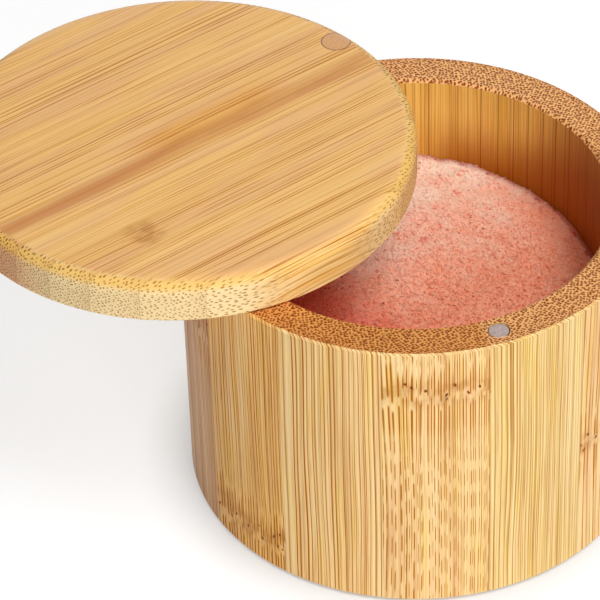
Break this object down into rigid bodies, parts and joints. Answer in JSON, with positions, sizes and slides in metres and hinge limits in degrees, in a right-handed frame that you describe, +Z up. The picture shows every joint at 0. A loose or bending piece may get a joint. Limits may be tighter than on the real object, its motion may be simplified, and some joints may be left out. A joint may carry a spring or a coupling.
{
  "type": "salt box",
  "caption": "Round bamboo salt box glued up from staves, whose flat lid swivels sideways on a plugged screw at the rim and is held shut by flush disc magnets.",
  "frame": {"origin": "centre of the box's foot, on the surface it stands on", "axes": "+Z up along the box's turning axis; +Y from the rim magnet towards the lid's swivel, so the magnet is at the front (-Y) and the swivel at the back; the lid stands swung open by 67 degrees towards -X"},
  "size_m": [0.1264, 0.1137, 0.0709],
  "materials": {
    "bamboo_box": "satin oiled bamboo, fibres upright",
    "bamboo_base": "plain sanded bamboo board, fibres lying flat",
    "bamboo_lid": "satin oiled bamboo, fibres lying flat",
    "plug_wood": "satin oiled hardwood end grain",
    "screw_steel": "bright zinc plated",
    "magnet_plating": "satin nickel plated",
    "rock_salt": "loose crushed pink rock salt, dull with fine glints"
  },
  "bodies": {
    "box": {"stave_01": "bamboo_box", "stave_02": "bamboo_box", "stave_03": "bamboo_box", "stave_04": "bamboo_box", "stave_05": "bamboo_box", "stave_06": "bamboo_box", "stave_07": "bamboo_box", "stave_08": "bamboo_box", "stave_09": "bamboo_box", "stave_10": "bamboo_box", "stave_11": "bamboo_box", "stave_12": "bamboo_box", "stave_13": "bamboo_box", "stave_14": "bamboo_box", "base_disc": "bamboo_base", "salt": "rock_salt", "rim_magnet": "magnet_plating", "pivot_screw": "screw_steel"},
    "lid": {"lid": "bamboo_lid", "lid_magnet": "magnet_plating", "pivot_plug": "plug_wood"}
  },
  "joints": [
    {"name": "lid_swivel", "type": "hinge", "parent": "box", "child": "lid", "pos_m": [0, 0.04063, 0.062], "axis": [0, 0, 1], "range_deg": [-293, 67]}
  ]
}
